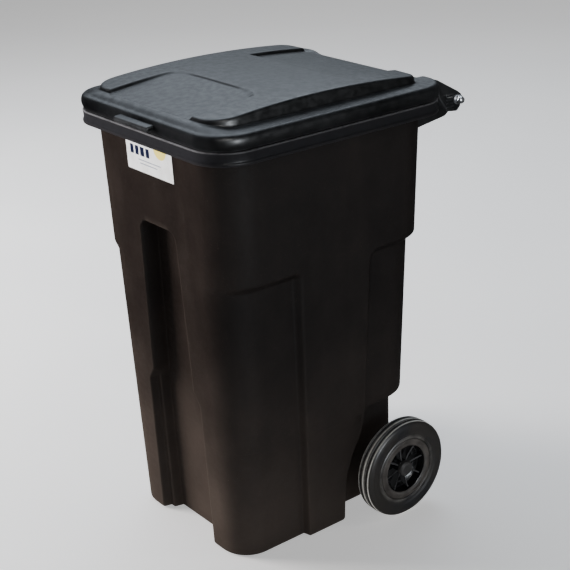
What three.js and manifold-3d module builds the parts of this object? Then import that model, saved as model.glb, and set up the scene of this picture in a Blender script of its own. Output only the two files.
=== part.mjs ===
// A two-wheeled refuse cart: a moulded tub with a hinged lid, a handle bar on the hinge rod,
// and two rubber-tyred wheels on a steel axle.
// Millimetres, +Z up. The front faces -Y, the wheels are at the back, and the floor is z = 0.
// The origin is the middle of the cart's outer box, on the floor.
import * as THREE from 'three';
import { mergeVertices } from 'three/addons/utils/BufferGeometryUtils.js';
import Module from 'manifold-3d';

const wasm = await Module();
wasm.setup();

// ---------------------------------------------------------------- driving dimensions

const GAP = 0.3; // clearance between pieces that touch

const tub = {
  wall: 4.2,
  top: 1023, // upper face of the rim
  wallTop: 985, // where the tapered wall meets the rim
  halfBase: 239, halfTop: 266,
  frontBase: -305, frontTop: -339,
  rearBase: 241, rearTop: 270,
  cornerBase: 75, cornerTop: 92,
  baseRound: 12,
};

const rim = { half: 294, front: -365, rear: 305, corner: 90, lip: 992, plate: 6, skirt: 5, round: 4 };

// Below the shoulder the corners are set in, which leaves a pilaster in the middle of each side.
const shoulder = { z: 706, drop: 20, sideTop: 15, sideBase: 19, rear: 12 };
const pilaster = { frontBase: -112, frontTop: -125, rearBase: 52, rearTop: 71, slopeBase: 6, slopeTop: 24 };

// The tall recess in the middle of the front, open at the bottom.
const recess = {
  depth: 43, top: 797, cornerRise: 22,
  halfTop: 71, halfMiddle: 84, halfLow: 110,
  jogTop: 408, jogLow: 376, draft: 7,
  ledge: 20, ledgeHalf: 91, // the shallow step on either side of its wider, lower part
};

// The lower back is narrow and raised, to make room for the wheels and to clear the ground.
const tail = { half: 199, rear: 192, bottom: 13, ceiling: 283, round: 18 };
const arch = { foot: 1, footTop: 60, kneeY: 53, kneeZ: 232, topY: 65 };

const wheel = { radius: 125, y: 137.6, inner: 266, outer: 314, rimRadius: 80, dish: 62 };
const axle = { radius: 10, bore: 10.4, tunnel: 18, half: 310 };

const lid = {
  wall: 3.8,
  bottom: 1023.6, shoulder: 1046, border: 1065,
  half: 293, front: -364, rear: 306, corner: 84,
  panelHalf: 238, panelFront: -324, panelRear: 238, panelCorner: 52,
  crown: 1095, crownY: -60, crownFront: 1080, crownRear: 1080,
};
// Shallow ramps pressed into the lid's raised panel, between two side ridges.
const frontRamp = { half: 160, floor: 1069, rear: -145, step: 4.5 };
const rearRamp = { half: 168, start: 64, run: 8, depth: 8, floor: 1071, foot: 1050 };
const tab = { half: 66, front: -382.5, bottom: 1033.5, top: 1045 };

const hinge = { y: 364, z: 998, rod: 6, rodHalf: 257, lugInner: 213, lugOuter: 240, eye: 18.5, bush: 10 };
const bracket = { inner: 172, outer: 206, eye: 18, bottom: 950, foot: 937 };
const handle = { half: 170.5, radius: 16 };

const label = { width: 180, height: 66, thick: 0.6, bottom: 915 };

// ---------------------------------------------------------------- materials

const plastic = (color, roughness) => new THREE.MeshStandardMaterial({ color, roughness, metalness: 0 });
const metal = (color, roughness) => new THREE.MeshStandardMaterial({ color, roughness, metalness: 1 });

const materials = {
  tubPlastic: plastic('#1f1c1b', 0.62),
  lidPlastic: plastic('#25272a', 0.5),
  rubber: plastic('#2b2a2a', 0.85),
  hubPlastic: plastic('#121213', 0.4),
  nylon: plastic('#c9c7bf', 0.5),
  steel: metal('#a9acae', 0.35),
  chrome: metal('#d9dcde', 0.15),
  labelFilm: plastic('#eef0f1', 0.4),
};

// ---------------------------------------------------------------- solids

const lerp = THREE.MathUtils.lerp;

function signedVolume(vertices, triangles) {
  const corner = (index) => new THREE.Vector3().fromArray(vertices, index * 3);
  let volume = 0;
  for (let i = 0; i < triangles.length; i += 3) {
    const [a, b, c] = [corner(triangles[i]), corner(triangles[i + 1]), corner(triangles[i + 2])];
    volume += a.dot(b.cross(c)) / 6;
  }
  return volume;
}

function toSolid(source) {
  const geometry = source.clone();
  geometry.deleteAttribute('normal');
  geometry.deleteAttribute('uv');
  const merged = mergeVertices(geometry, 1e-4);
  const vertProperties = new Float32Array(merged.attributes.position.array);
  const kept = [];
  const index = merged.index.array;
  for (let i = 0; i < index.length; i += 3) {
    const [a, b, c] = [index[i], index[i + 1], index[i + 2]];
    if (a !== b && b !== c && c !== a) kept.push(a, b, c);
  }
  if (signedVolume(vertProperties, kept) < 0) kept.reverse();
  return new wasm.Manifold(new wasm.Mesh({ numProp: 3, vertProperties, triVerts: new Uint32Array(kept) }));
}

function toGeometry(solid) {
  const mesh = solid.getMesh();
  const positions = new Float32Array(mesh.numVert * 3);
  for (let i = 0; i < mesh.numVert; i += 1) {
    for (let k = 0; k < 3; k += 1) positions[i * 3 + k] = mesh.vertProperties[i * mesh.numProp + k];
  }
  const geometry = new THREE.BufferGeometry();
  geometry.setAttribute('position', new THREE.BufferAttribute(positions, 3));
  geometry.setIndex(new THREE.BufferAttribute(new Uint32Array(mesh.triVerts), 1));
  geometry.computeVertexNormals();
  return geometry;
}

const join = (...solids) => solids.reduce((sum, solid) => sum.add(solid));
const cut = (solid, ...tools) => tools.reduce((left, tool) => left.subtract(tool), solid);

// A closed solid skinned over rings of [x, y, z] points, each ring with the same number of points.
function loft(outlines) {
  const clockwise = THREE.ShapeUtils.isClockWise(outlines[0].map(([x, y]) => new THREE.Vector2(x, y)));
  const rings = clockwise ? outlines.map((ring) => [...ring].reverse()) : outlines;
  const count = rings[0].length;
  const triangles = [];
  for (let r = 0; r + 1 < rings.length; r += 1) {
    for (let i = 0; i < count; i += 1) {
      const next = (i + 1) % count;
      const [a, b] = [r * count + i, r * count + next];
      triangles.push(a, b, b + count, a, b + count, a + count);
    }
  }
  const flat = rings[0].map(([x, y]) => new THREE.Vector2(x, y));
  const last = (rings.length - 1) * count;
  for (const [a, b, c] of THREE.ShapeUtils.triangulateShape(flat, [])) {
    triangles.push(c, b, a);
    triangles.push(last + a, last + b, last + c);
  }
  const geometry = new THREE.BufferGeometry();
  geometry.setAttribute('position', new THREE.Float32BufferAttribute(rings.flat(2), 3));
  geometry.setIndex(triangles);
  return toSolid(geometry);
}

// A level ring: a rectangle from -half to +half and from front to rear, with round corners.
function roundedRing(half, front, rear, radius, z, steps = 6) {
  const centres = [
    [half - radius, rear - radius, 0],
    [radius - half, rear - radius, 1],
    [radius - half, front + radius, 2],
    [half - radius, front + radius, 3],
  ];
  return centres.flatMap(([x, y, quarter]) => Array.from({ length: steps + 1 }, (_, i) => {
    const angle = (quarter + i / steps) * Math.PI / 2;
    return [x + radius * Math.cos(angle), y + radius * Math.sin(angle), z];
  }));
}

// A YZ outline, pushed out along X from x0 to x1.
function alongX(points, x0, x1) {
  const shape = new THREE.Shape(points.map(([y, z]) => new THREE.Vector2(y, z)));
  const geometry = new THREE.ExtrudeGeometry(shape, { depth: x1 - x0, bevelEnabled: false });
  geometry.applyMatrix4(new THREE.Matrix4().makeBasis(
    new THREE.Vector3(0, 1, 0), new THREE.Vector3(0, 0, 1), new THREE.Vector3(1, 0, 0)));
  geometry.translate(x0, 0, 0);
  return toSolid(geometry);
}

// A solid of revolution about an axis along X. The profile is [radius, x] points.
function turned(profile, segments, y = 0, z = 0) {
  const outline = profile.map(([radius, x]) => new THREE.Vector2(radius, x));
  const geometry = new THREE.LatheGeometry(outline, segments);
  geometry.rotateZ(-Math.PI / 2);
  geometry.translate(0, y, z);
  return toSolid(geometry);
}

const tube = (inner, outer, x0, x1, segments, y, z) => turned(
  [[inner, x0], [outer, x0], [outer, x1], [inner, x1], [inner, x0]], segments, y, z);
const rod = (radius, x0, x1, segments, y, z) => turned(
  [[0, x0], [radius, x0], [radius, x1], [0, x1]], segments, y, z);

function box(x0, x1, y0, y1, z0, z1) {
  const geometry = new THREE.BoxGeometry(x1 - x0, y1 - y0, z1 - z0);
  geometry.translate((x0 + x1) / 2, (y0 + y1) / 2, (z0 + z1) / 2);
  return toSolid(geometry);
}

function arcPoints(y, z, radius, fromDegrees, toDegrees, steps) {
  return Array.from({ length: steps + 1 }, (_, i) => {
    const angle = THREE.MathUtils.degToRad(lerp(fromDegrees, toDegrees, i / steps));
    return [y + radius * Math.cos(angle), z + radius * Math.sin(angle)];
  });
}

const mirrored = (solid) => solid.mirror([1, 0, 0]);

// ---------------------------------------------------------------- tub

const rise = (z) => z / tub.wallTop;
const halfAt = (z) => lerp(tub.halfBase, tub.halfTop, rise(z));
const frontAt = (z) => lerp(tub.frontBase, tub.frontTop, rise(z));
const rearAt = (z) => lerp(tub.rearBase, tub.rearTop, rise(z));
const cornerAt = (z) => lerp(tub.cornerBase, tub.cornerTop, rise(z));
const sideInset = (z) => lerp(shoulder.sideBase, shoulder.sideTop, z / shoulder.z);

// The tub's plan at one height, thinned by t, with its corners set in when inset is 1.
function tubRing(z, t, inset) {
  return roundedRing(
    halfAt(z) - inset * sideInset(z) - t, frontAt(z) + t,
    rearAt(z) - inset * shoulder.rear - t, cornerAt(z) - t, z);
}

function pilasterRing(z, t) {
  const up = z / shoulder.z;
  const slope = lerp(pilaster.slopeBase, pilaster.slopeTop, up);
  const [outside, inside] = [halfAt(z) - t, halfAt(z) - sideInset(z) - t - 2];
  const front = lerp(pilaster.frontBase, pilaster.frontTop, up) + t;
  const rear = lerp(pilaster.rearBase, pilaster.rearTop, up) - t;
  const half = [[inside, front - slope], [outside, front], [outside, rear], [inside, rear + 8]];
  const other = half.map(([x, y]) => [-x, y]).reverse();
  return [...half, ...other].map(([x, y]) => [x, y, z]);
}

function recessTool(t) {
  const section = (z, half, depth) => {
    const [surface, floor] = [frontAt(z), frontAt(z) + depth + t];
    const stepped = half > recess.halfMiddle;
    const bed = (stepped ? recess.ledgeHalf : half) - recess.draft;
    const step = Math.min(recess.ledge, depth / 3);
    const side = [
      [half, surface - 40], [half, surface],
      [stepped ? half - 5 : half - recess.draft * 0.3, surface + step],
      [stepped ? recess.ledgeHalf : half - recess.draft * 0.4, surface + step + 1],
      [bed, floor - t],
    ].map(([x, y], i) => [x + t, i > 1 ? y + t : y, z]);
    return [...side, ...side.map(([x, y]) => [-x, y, z]).reverse()];
  };
  const arcStart = recess.top - recess.cornerRise;
  return loft([
    section(-20, recess.halfLow, recess.depth),
    section(recess.jogLow, recess.halfLow - 4, recess.depth),
    section(recess.jogTop, recess.halfMiddle, recess.depth),
    section(arcStart + t, recess.halfTop, recess.depth),
    section(arcStart + t + recess.cornerRise * 0.6, recess.halfTop - 5, recess.depth * 0.6),
    section(recess.top + t, recess.halfTop - recess.cornerRise, 3),
  ]);
}

// Outline of the space that the wheels need, seen from the side.
function wheelSpace(t) {
  const outline = new THREE.Path();
  outline.moveTo(arch.foot, -20);
  outline.lineTo(arch.foot + 1, arch.footTop);
  outline.bezierCurveTo(arch.foot + 3, 150, arch.kneeY - 8, 165, arch.kneeY, arch.kneeZ);
  outline.lineTo(arch.topY, tail.ceiling);
  outline.lineTo(400, tail.ceiling - 8);
  outline.lineTo(400, -20);
  const points = outline.getPoints(7).map(({ x, y }) => [x - t, y > 0 ? y + t : y]);
  return alongX(points, -400, 400);
}

// The narrow block between the wheels.
function tailBlock(t) {
  const { round } = tail;
  const inner = round + t;
  const outline = new THREE.Shape();
  outline.moveTo(-30, tail.bottom + inner);
  outline.lineTo(60, tail.bottom + inner);
  outline.bezierCurveTo(110, tail.bottom + inner, tail.rear - inner, 60, tail.rear - inner, 135);
  outline.lineTo(tail.rear - inner, tail.ceiling + 20);
  outline.lineTo(-30, tail.ceiling + 20);
  const geometry = new THREE.ExtrudeGeometry(outline, {
    depth: 2 * (tail.half - inner), curveSegments: 8,
    bevelEnabled: true, bevelSize: round, bevelThickness: round, bevelSegments: 3,
  });
  geometry.applyMatrix4(new THREE.Matrix4().makeBasis(
    new THREE.Vector3(0, 1, 0), new THREE.Vector3(0, 0, 1), new THREE.Vector3(1, 0, 0)));
  geometry.translate(-(tail.half - inner), 0, 0);
  return toSolid(geometry);
}

// The tub's filled shape with every face moved in by t: t = 0 is its outside, t = wall its inside.
function tubFilled(t) {
  const lowTop = shoulder.z - shoulder.drop;
  const round = tub.baseRound;
  const shrink = (z, by) => roundedRing(
    halfAt(z) - sideInset(z) - t - by, frontAt(z) + t + by, rearAt(z) - shoulder.rear - t - by,
    cornerAt(z) - t - by, z);
  const low = loft([
    shrink(t, round), shrink(t + round * 0.3, round * 0.3), tubRing(t + round, t, 1),
    tubRing(shoulder.z, t, 1),
  ]);
  const high = loft([
    tubRing(lowTop + t, t, 1), tubRing(shoulder.z + t, t, 0), tubRing(tub.wallTop, t, 0),
    tubRing(tub.top + (t > 0 ? 20 : 0), t, 0),
  ]);
  const middle = loft([pilasterRing(t, t + round * 0.7), pilasterRing(t + round, t),
    pilasterRing(shoulder.z, t)]);
  const upright = cut(join(low, middle, high), wheelSpace(t));
  return cut(join(upright, tailBlock(t)), recessTool(t));
}

function rimFlange() {
  const ring = (by, z) => roundedRing(rim.half - by, rim.front + by, rim.rear - by, rim.corner - by, z);
  const body = loft([ring(1.5, rim.lip), ring(0, rim.lip + 7), ring(0, tub.top - rim.round),
    ring(rim.round, tub.top)]);
  const pocket = loft([ring(rim.skirt + 1, rim.lip - 5), ring(rim.skirt, tub.top - rim.plate)]);
  return cut(body, pocket);
}

// Two arms at the back of the tub that carry the handle bar and the hinge rod.
function hingeBracket() {
  const eye = arcPoints(hinge.y, hinge.z, bracket.eye, 105, -15, 6);
  const outline = [
    [258, rim.lip + 8], [rim.rear + 2, rim.lip + 12], ...eye,
    [hinge.y + 8, bracket.bottom + 7], [hinge.y + 1, bracket.bottom], [258, bracket.foot],
  ];
  return alongX(outline, bracket.inner, bracket.outer);
}

function makeTub() {
  const tunnel = rod(axle.tunnel, -tail.half + 2, tail.half - 2, 20, wheel.y, wheel.radius);
  const shell = cut(join(tubFilled(0), rimFlange()), tubFilled(tub.wall));
  const arms = cut(join(hingeBracket(), mirrored(hingeBracket())), tubFilled(tub.wall));
  return cut(
    join(shell, tunnel, arms),
    rod(axle.bore, -220, 220, 20, wheel.y, wheel.radius),
    rod(hinge.rod + 0.45, -250, 250, 16, hinge.y, hinge.z));
}

// ---------------------------------------------------------------- lid

function crownAt(y) {
  const [edge, height] = y < lid.crownY
    ? [lid.panelFront, lid.crownFront] : [lid.panelRear, lid.crownRear];
  return lid.crown - (lid.crown - height) * ((y - lid.crownY) / (edge - lid.crownY)) ** 2;
}

function lidPanel(t) {
  const low = lid.border - 20;
  const plan = (grow, z) => roundedRing(
    lid.panelHalf - t + grow, lid.panelFront + t - grow, lid.panelRear - t + grow,
    lid.panelCorner - t + grow, z, 4);
  const walls = loft([plan(6, low), plan(3, lid.border), plan(0, lid.border + 8), plan(-2, lid.crown + 8)]);
  const steps = 12;
  const crownLine = Array.from({ length: steps + 1 }, (_, i) => {
    const y = lerp(lid.panelFront - 6, lid.panelRear + 6, i / steps);
    return [y, crownAt(y) - t];
  });
  const under = alongX([...crownLine, [lid.panelRear + 6, low], [lid.panelFront - 6, low]], -300, 300);
  return walls.intersect(under);
}

function rampTools(t) {
  const over = lid.crown + 40;
  const front = alongX([
    [lid.front - 20, frontRamp.floor - t], [lid.panelFront, frontRamp.floor - t],
    [frontRamp.rear + t, crownAt(frontRamp.rear) - frontRamp.step - t], [frontRamp.rear + 3 + t, over],
    [lid.front - 20, over],
  ], -frontRamp.half - t, frontRamp.half + t);
  const rear = alongX([
    [rearRamp.start, crownAt(rearRamp.start) - t + 0.2],
    [rearRamp.start + rearRamp.run, crownAt(rearRamp.start) - rearRamp.depth - t],
    [lid.panelRear - 2 - 0.7 * t, rearRamp.floor - t], [lid.panelRear + 12 - 0.7 * t, rearRamp.foot - t],
    [lid.rear + 20, rearRamp.foot - 6 - t], [lid.rear + 20, over], [rearRamp.start, over],
  ], -rearRamp.half - t, rearRamp.half + t);
  return [front, rear];
}

function lidFilled(t) {
  const ring = (by, z) => roundedRing(
    lid.half - by - t, lid.front + by + t, lid.rear - by - t, lid.corner - by - t, z);
  const skirtFoot = t > 0 ? lid.bottom - 10 : lid.bottom;
  const border = loft([ring(1.5, skirtFoot), ring(0, lid.shoulder - t), ring(3, lid.shoulder + 7 - t),
    ring(10, lid.shoulder + 12 - t), ring(38, lid.border - t)]);
  const [frontTool, rearTool] = rampTools(t);
  return cut(join(border, cut(lidPanel(t), frontTool)), rearTool);
}

// The arm that reaches back from the lid to the hinge rod, with gripping ribs on its outer face.
function lidArm() {
  const eye = arcPoints(hinge.y, hinge.z, hinge.eye, 58, -8, 5);
  const outline = [
    [lid.rear - 22, lid.shoulder + 12], [lid.rear - 2, lid.shoulder + 6], ...eye,
    [hinge.y + 14, hinge.z - 20], [hinge.y + 3, hinge.z - 30], [hinge.y - 28, hinge.z - 26],
    [lid.rear + 1, hinge.z + 12], [lid.rear + 1, lid.bottom + 5], [lid.rear - 22, lid.bottom + 5],
  ];
  const arm = alongX(outline, hinge.lugInner, hinge.lugOuter);
  const ribs = Array.from({ length: 4 }, (_, i) => box(
    hinge.lugOuter - 1, hinge.lugOuter + 1.6, hinge.y - 32, hinge.y - 13,
    hinge.z - 22 + i * 10, hinge.z - 19 + i * 10));
  return join(arm, ...ribs);
}

function makeLid() {
  const grip = loft([
    roundedRing(tab.half - 2, tab.front + 2, lid.front + 6, 8, tab.bottom, 3),
    roundedRing(tab.half, tab.front, lid.front + 6, 8, tab.bottom + 3, 3),
    roundedRing(tab.half, tab.front, lid.front + 6, 8, tab.top - 3, 3),
    roundedRing(tab.half - 2, tab.front + 2, lid.front + 6, 8, tab.top, 3),
  ]);
  const shell = cut(join(lidFilled(0), grip), lidFilled(lid.wall));
  return cut(
    join(shell, lidArm(), mirrored(lidArm())),
    rod(hinge.bush + GAP, -260, 260, 20, hinge.y, hinge.z));
}

// ---------------------------------------------------------------- hinge and handle

const makeHingeRod = () => rod(hinge.rod, -hinge.rodHalf, hinge.rodHalf, 16, hinge.y, hinge.z);
const makeHandleBar = () => tube(
  hinge.rod + 0.45, handle.radius, -handle.half, handle.half, 24, hinge.y, hinge.z);

// A flanged sleeve that lines the lid arm's eye.
const makeLidBush = () => turned([
  [hinge.rod + 0.4, hinge.lugInner - 3], [hinge.bush + 4, hinge.lugInner - 3],
  [hinge.bush + 4, hinge.lugInner - GAP], [hinge.bush, hinge.lugInner - GAP],
  [hinge.bush, hinge.lugOuter], [hinge.rod + 0.4, hinge.lugOuter], [hinge.rod + 0.4, hinge.lugInner - 3],
], 20, hinge.y, hinge.z);

const washerFace = hinge.lugOuter + 2;
const makeHingeWasher = () => tube(
  hinge.rod + 0.4, 12, washerFace, washerFace + 2, 20, hinge.y, hinge.z);

// A closed-top hexagon nut: a hexagon below a low dome.
function makeHingeNut() {
  const [start, flat, top] = [washerFace + 2 + GAP, washerFace + 11, hinge.rodHalf + 5];
  const hexagon = rod(11, start, flat, 6, hinge.y, hinge.z);
  const dome = turned([[0, flat - 2], [8.8, flat - 2], [8.6, flat + 2], [6.5, top - 2], [3, top], [0, top]],
    16, hinge.y, hinge.z);
  return cut(join(hexagon, dome), rod(hinge.rod + 0.4, 230, hinge.rodHalf + 0.5, 16, hinge.y, hinge.z));
}

// ---------------------------------------------------------------- wheels and axle

const onAxle = [wheel.y, wheel.radius];

function makeTyre() {
  const { inner, outer, radius, rimRadius } = wheel;
  const middle = (inner + outer) / 2;
  const tread = radius - 4;
  // Three rounded ribs with two grooves between them, then a full side wall down to the hub.
  const profile = [
    [rimRadius, inner + 4], [rimRadius + 16, inner], [radius - 12, inner + 1], [radius - 2, inner + 7],
    [radius, inner + 11], [radius - 1, middle - 10], [tread, middle - 8], [radius - 1, middle - 6],
    [radius, middle], [radius - 1, middle + 6], [tread, middle + 8], [radius - 1, middle + 10],
    [radius, outer - 11], [radius - 2, outer - 7], [radius - 12, outer - 1], [rimRadius + 16, outer],
    [rimRadius + 2, outer - 2], [rimRadius, outer - 5], [rimRadius, inner + 4],
  ];
  return turned(profile, 36, ...onAxle);
}

function makeWheelHub() {
  const { inner, outer, rimRadius, dish } = wheel;
  const seat = rimRadius - GAP - 0.25;
  const ring = turned([
    [dish + 2, inner + 8], [seat, inner + 8], [seat, outer - 6], [seat - 3, outer - 2],
    [dish + 3, outer - 3], [dish, outer - 7], [dish - 2, inner + 16], [dish + 2, inner + 14],
    [dish + 2, inner + 8],
  ], 36, ...onAxle);
  const web = tube(18, dish + 4, inner + 12, inner + 16, 36, ...onAxle);
  const boss = tube(12.6, 19, inner + 2, outer - 14, 24, ...onAxle);
  const spokes = Array.from({ length: 8 }, (_, i) => {
    const blade = alongX([[16, -2.5], [dish + 3, -2], [dish + 3, 2], [16, 2.5]], inner + 14, outer - 14);
    return blade.rotate([i * 45 + 12, 0, 0]).translate([0, ...onAxle]);
  });
  return cut(join(ring, web, boss, ...spokes), rod(12.6, inner - 5, outer + 5, 24, ...onAxle));
}

const makeWheelBush = () => tube(
  axle.bore, 12.25, wheel.inner + 2, wheel.outer - 15, 24, ...onAxle);
const makeAxleSpacer = () => tube(
  axle.bore, 15, tail.half + GAP, wheel.inner + 1, 24, ...onAxle);
const makeAxleWasher = () => tube(
  axle.bore, 15, wheel.outer - 13.6, wheel.outer - 11.6, 24, ...onAxle);
const makePushNut = () => turned([
  [axle.bore, wheel.outer - 11.2], [14, wheel.outer - 11.2], [14, wheel.outer - 9.6],
  [11.4, wheel.outer - 7.6], [axle.bore, wheel.outer - 7.6], [axle.bore, wheel.outer - 11.2],
], 24, ...onAxle);
const makeAxle = () => rod(axle.radius, -axle.half, axle.half, 24, ...onAxle);

// A hollow cap that covers the axle's end and sits on the end of the hub's boss.
const makeHubCap = () => turned([
  [0, wheel.outer - 3], [16, wheel.outer - 3], [16, wheel.outer - 14 + GAP],
  [19.4, wheel.outer - 14 + GAP], [19.4, wheel.outer - 4], [17.5, wheel.outer - 1], [9, wheel.outer], [0, wheel.outer],
], 24, ...onAxle);

// ---------------------------------------------------------------- label

function makeLabel() {
  const ring = roundedRing(label.width / 2, -label.height / 2, label.height / 2, 3, 0, 2);
  const geometry = toGeometry(loft([ring, ring.map(([x, y]) => [x, y, label.thick])]));
  const middle = label.bottom + label.height / 2;
  const lean = Math.atan2(tub.frontBase - tub.frontTop, tub.wallTop);
  geometry.rotateX(Math.PI / 2 + lean);
  geometry.translate(0, frontAt(middle) - GAP - 0.1, middle);
  return geometry;
}

// ---------------------------------------------------------------- assembly

const cart = new THREE.Group();

function place(name, geometry, material) {
  const mesh = new THREE.Mesh(geometry, material);
  mesh.name = name;
  cart.add(mesh);
}

// A piece made for the +X side, and its mirror image on the -X side.
function placePair(name, solid, material) {
  place(`${name}_right`, toGeometry(solid), material);
  place(`${name}_left`, toGeometry(mirrored(solid)), material);
}

place('tub', toGeometry(makeTub()), materials.tubPlastic);
place('lid', toGeometry(makeLid()), materials.lidPlastic);
place('hinge_rod', toGeometry(makeHingeRod()), materials.steel);
place('handle_bar', toGeometry(makeHandleBar()), materials.tubPlastic);
place('axle', toGeometry(makeAxle()), materials.steel);
place('front_label', makeLabel(), materials.labelFilm);
placePair('lid_bush', makeLidBush(), materials.nylon);
placePair('hinge_washer', makeHingeWasher(), materials.steel);
placePair('hinge_nut', makeHingeNut(), materials.chrome);
placePair('tyre', makeTyre(), materials.rubber);
placePair('wheel_hub', makeWheelHub(), materials.hubPlastic);
placePair('wheel_bush', makeWheelBush(), materials.nylon);
placePair('axle_spacer', makeAxleSpacer(), materials.hubPlastic);
placePair('axle_washer', makeAxleWasher(), materials.steel);
placePair('push_nut', makePushNut(), materials.steel);
placePair('hub_cap', makeHubCap(), materials.hubPlastic);

export default cart;
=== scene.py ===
"""The looks of a two-wheeled refuse cart, built around its CAD frame.

Lengths are in millimetres in the CAD frame: +Z up, the front faces -Y, the floor is z = 0.
add_mesh turns them into metres. Most shapes are symmetric about x = 0.
"""
import math
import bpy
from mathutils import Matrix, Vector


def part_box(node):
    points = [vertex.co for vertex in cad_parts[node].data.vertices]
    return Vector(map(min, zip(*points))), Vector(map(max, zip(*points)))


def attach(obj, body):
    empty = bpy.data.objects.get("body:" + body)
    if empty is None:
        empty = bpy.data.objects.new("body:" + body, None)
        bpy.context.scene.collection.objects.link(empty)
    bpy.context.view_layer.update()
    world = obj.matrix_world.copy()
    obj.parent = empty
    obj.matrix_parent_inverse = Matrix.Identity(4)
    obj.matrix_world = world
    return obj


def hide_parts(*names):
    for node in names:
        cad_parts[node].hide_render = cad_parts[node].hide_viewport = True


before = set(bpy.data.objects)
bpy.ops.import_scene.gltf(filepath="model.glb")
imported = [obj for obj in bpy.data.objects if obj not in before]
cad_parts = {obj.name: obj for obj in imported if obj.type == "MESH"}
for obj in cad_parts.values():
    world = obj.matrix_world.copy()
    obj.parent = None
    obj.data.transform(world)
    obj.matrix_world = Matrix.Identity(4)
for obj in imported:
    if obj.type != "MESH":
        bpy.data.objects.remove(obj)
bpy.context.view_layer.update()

from types import SimpleNamespace as Dims

import bmesh
import bpy
import numpy as np
from mathutils import Matrix, Vector

MM = 0.001

# ---- driving dimensions

tub = Dims(
    wall=4.2, top=1023, wall_top=985, half_base=239, half_top=266, front_base=-305, front_top=-339,
    rear_base=241, rear_top=270, corner_base=75, corner_top=92, round=12)
rim = Dims(half=294, front=-365, rear=305, corner=90, lip=992, plate=6, skirt=5)
shoulder = Dims(z=706, drop=21, side_top=15, side_base=19, rear=12, front_corner=20, rear_corner=33)
pilaster = Dims(front_base=-112, front_top=-125, rear_base=52, rear_top=71, slope_base=7, slope_top=23)
recess = Dims(
    depth=43, wall=8, top=797, corner=25, half_top=71, half_middle=84, half_low=91,
    jog_top=408, jog_low=376)
ledge = Dims(depth=20, wall=7, half_base=110, half_jog=106, park=18)
tail = Dims(half=199, rear=192, rear_base=60, bottom=13, curve_top=135, shelf=283, round=18)
arch = Dims(edge_round=5, inner_round=9)

lid = Dims(
    wall=3.8, bottom=1023.6, shoulder=1046, half=293, front=-364, rear=306, corner=84,
    panel_half=236, panel_front=-322, panel_rear=234, panel_corner=54, panel_rear_corner=24,
    border_front=1069.5, border_side=1061, border_rear=1057, foot=13,
    crest=1057.5, crown=1094.4, crown_y=-60, crown_front=1080, crown_rear=1079, side_fall=3)
front_ramp = Dims(half=162, floor=1070, rear=-145, step=4.5, corner=30, wall=4, side_ease=0.34)
rear_ramp = Dims(half=168, start=66, depth=8.5, wall=6.5, corner=12, dip=9, dip_fade=36)
tab = Dims(half=66, front=-382.5, back=-352, bottom=1033.5, top=1045)

hinge = Dims(y=364, z=998, rod=6, rod_half=257, lug_inner=213, lug_outer=240)
bracket = Dims(inner=172, outer=206, eye=18, bottom=950, foot=937)
printed = Dims(
    bars=((-74, -60), (-54, -40), (-34, -18), (-12, 2)), bars_low=953, bars_high=974,
    lines=((-44, 44, 942), (-38, 30, 934)), line_height=2.5, disc_centre=(45, 984), disc_radius=25)


# ---- small maths

def lerp(a, b, t):
    return a + (b - a) * t


def soft_step(t, ease=0.35):
    """0 below t = 0 and 1 above t = 1, with rounded ends and a straight slope between them."""
    t = np.clip(t, 0, 1)
    slope = 1 / (1 - ease)
    start = slope * t * t / (2 * ease)
    end = 1 - slope * (1 - t) ** 2 / (2 * ease)
    return np.where(t < ease, start, np.where(t > 1 - ease, end, slope * (t - ease / 2)))


def inside_corner(a, b, radius):
    """How far a point lies inside the quadrant a < 0, b < 0, whose corner is rounded."""
    a, b = a + radius, b + radius
    return radius - np.hypot(np.maximum(a, 0), np.maximum(b, 0)) - np.minimum(np.maximum(a, b), 0)


def spread(start, end, count):
    return np.linspace(start, end, count + 1)


def onward(start, end, count):
    """The same values without the first one."""
    return spread(start, end, count)[1:]


def arc(centre_x, centre_y, radius, start, end, count):
    """Points on an arc, angles in degrees from +X, without the first one."""
    angles = np.radians(onward(start, end, count))
    return np.column_stack([centre_x + radius * np.cos(angles), centre_y + radius * np.sin(angles)])


def line(x, y):
    """Points of a plan, where x or y may be one number for all of them."""
    return np.column_stack(np.broadcast_arrays(x, y))


def at_level(plan, z):
    """The plan in space. z is one height or one for each point."""
    return np.column_stack([plan, np.broadcast_to(z, len(plan))])


def half_plan(front_x, side_y, back_x, half, front, rear, corner, rear_corner, steps, z):
    """Half of a rounded rectangle: across the front, round to the side, back, and across the rear."""
    plan = np.vstack([
        line(front_x, front),
        arc(half - corner, front + corner, corner, -90, 0, steps),
        line(half, side_y),
        arc(half - rear_corner, rear - rear_corner, rear_corner, 0, 90, steps),
        line(back_x, rear)])
    return at_level(plan, z)


# ---- tub shape

def wall_at(z):
    """The wall's measures at height z. They stay the same above the wall's top."""
    up = min(z, tub.wall_top) / tub.wall_top
    return Dims(
        half=lerp(tub.half_base, tub.half_top, up), front=lerp(tub.front_base, tub.front_top, up),
        rear=lerp(tub.rear_base, tub.rear_top, up), corner=lerp(tub.corner_base, tub.corner_top, up))


def deep_half(z):
    """Half the recess's width, not counting its rounded top corners."""
    return np.interp(
        z, [0, recess.jog_low, recess.jog_top, recess.top],
        [recess.half_low, recess.half_low, recess.half_middle, recess.half_top])


def deep_edge(z, t):
    """Where the recess's edge crosses this height; above the recess the columns close up and go on."""
    half, top, radius = deep_half(z) + t, recess.top + t, recess.corner
    if z > top:
        return lerp(half - radius, half - 10, soft_step((z - top) / 90))
    rise = max(0.0, z - (top - radius))
    return half - radius + math.sqrt(radius ** 2 - rise ** 2)


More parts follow.
